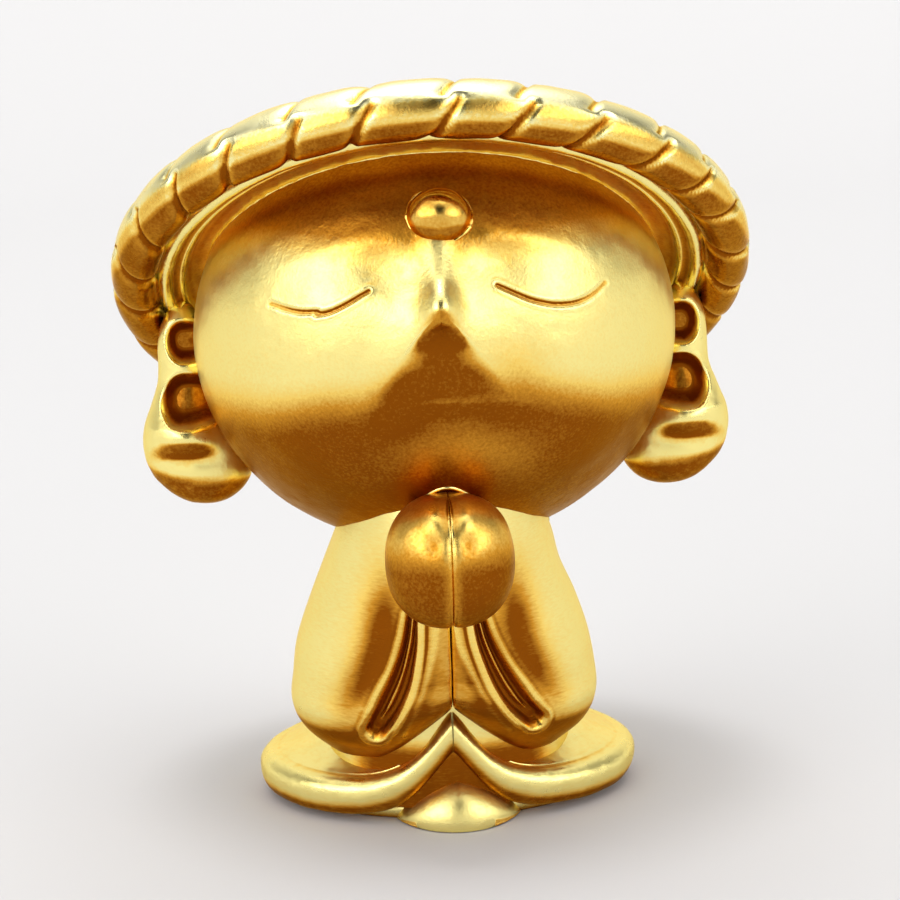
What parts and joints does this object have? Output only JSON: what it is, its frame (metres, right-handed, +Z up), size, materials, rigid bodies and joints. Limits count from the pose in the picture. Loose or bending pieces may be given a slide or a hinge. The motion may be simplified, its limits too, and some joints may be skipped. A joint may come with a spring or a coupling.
{
  "type": "praying figurine",
  "caption": "Small gold-coloured metal figurine: a round head tipped back under a wide corded-rim hat, palms pressed together, hanging sleeves and a seated lap.",
  "frame": {"origin": "middle of the underside of the base plate, on the surface the figurine stands on", "axes": "+Z up through the figurine, -Y the way the figurine faces, +X to the left hand of the figurine"},
  "size_m": [0.031, 0.0265, 0.036],
  "materials": {
    "satin_gold": "satin gold plating with fine brushed grain, brighter on raised edges",
    "inner_metal": "plain turned brass, hidden inside"
  },
  "bodies": {
    "root": {"hat_rim_cord": "satin_gold", "hat_crown": "satin_gold", "hat_brim_lining": "satin_gold", "head_shell": "satin_gold", "brow_bead": "satin_gold", "ear_left": "satin_gold", "ear_right": "satin_gold", "collar": "satin_gold", "torso": "satin_gold", "neck_spigot": "inner_metal", "hand_left": "satin_gold", "hand_right": "satin_gold", "sleeve_left": "satin_gold", "sleeve_right": "satin_gold", "cuff_lining_left": "satin_gold", "cuff_lining_right": "satin_gold", "lap_left": "satin_gold", "lap_right": "satin_gold", "front_hem": "satin_gold", "base_plate": "satin_gold"}
  },
  "joints": []
}
